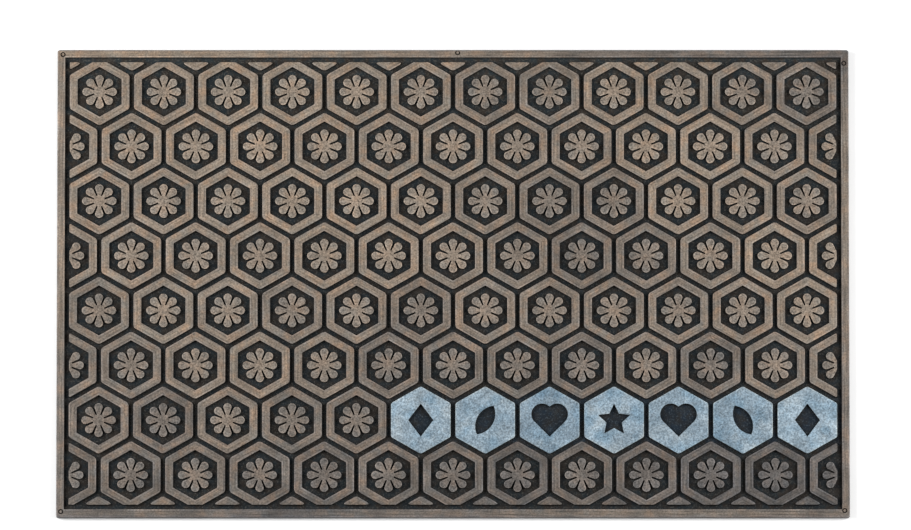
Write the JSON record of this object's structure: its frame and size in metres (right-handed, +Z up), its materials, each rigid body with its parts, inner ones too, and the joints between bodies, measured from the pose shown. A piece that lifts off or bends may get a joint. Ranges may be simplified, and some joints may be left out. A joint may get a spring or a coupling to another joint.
{
  "type": "door mat",
  "caption": "Rectangular moulded rubber door mat with raised hexagon rings around eight-petal flowers, flat symbol tiles near one corner and a raised rim.",
  "frame": {"origin": "middle of the underside, on the surface that the mat lies on", "axes": "+X along the mat's length, towards the end with the symbol tiles; +Y across its width, away from the person who sees the tiles upright; +Z up, out of the tread"},
  "size_m": [0.762, 0.4572, 0.008],
  "materials": {
    "black_rubber": "matt moulded rubber",
    "bronze_relief": "brushed bronze-taupe paint on the raised faces of moulded rubber",
    "blue_tile": "mottled blue-grey paint on moulded rubber"
  },
  "bodies": {
    "root": {"base_sheet": "black_rubber", "rim_front": "bronze_relief", "rim_right": "bronze_relief", "rim_back": "bronze_relief", "rim_left": "bronze_relief", "hexagon_row_1": "bronze_relief", "hexagon_row_2": "bronze_relief", "hexagon_row_3": "bronze_relief", "hexagon_row_4": "bronze_relief", "hexagon_row_5": "bronze_relief", "hexagon_row_6": "bronze_relief", "hexagon_row_7": "bronze_relief", "hexagon_row_8": "bronze_relief", "symbol_tile_1": "blue_tile", "symbol_tile_2": "blue_tile", "symbol_tile_3": "blue_tile", "symbol_tile_4": "blue_tile", "symbol_tile_5": "blue_tile", "symbol_tile_6": "blue_tile", "symbol_tile_7": "blue_tile"}
  },
  "joints": []
}
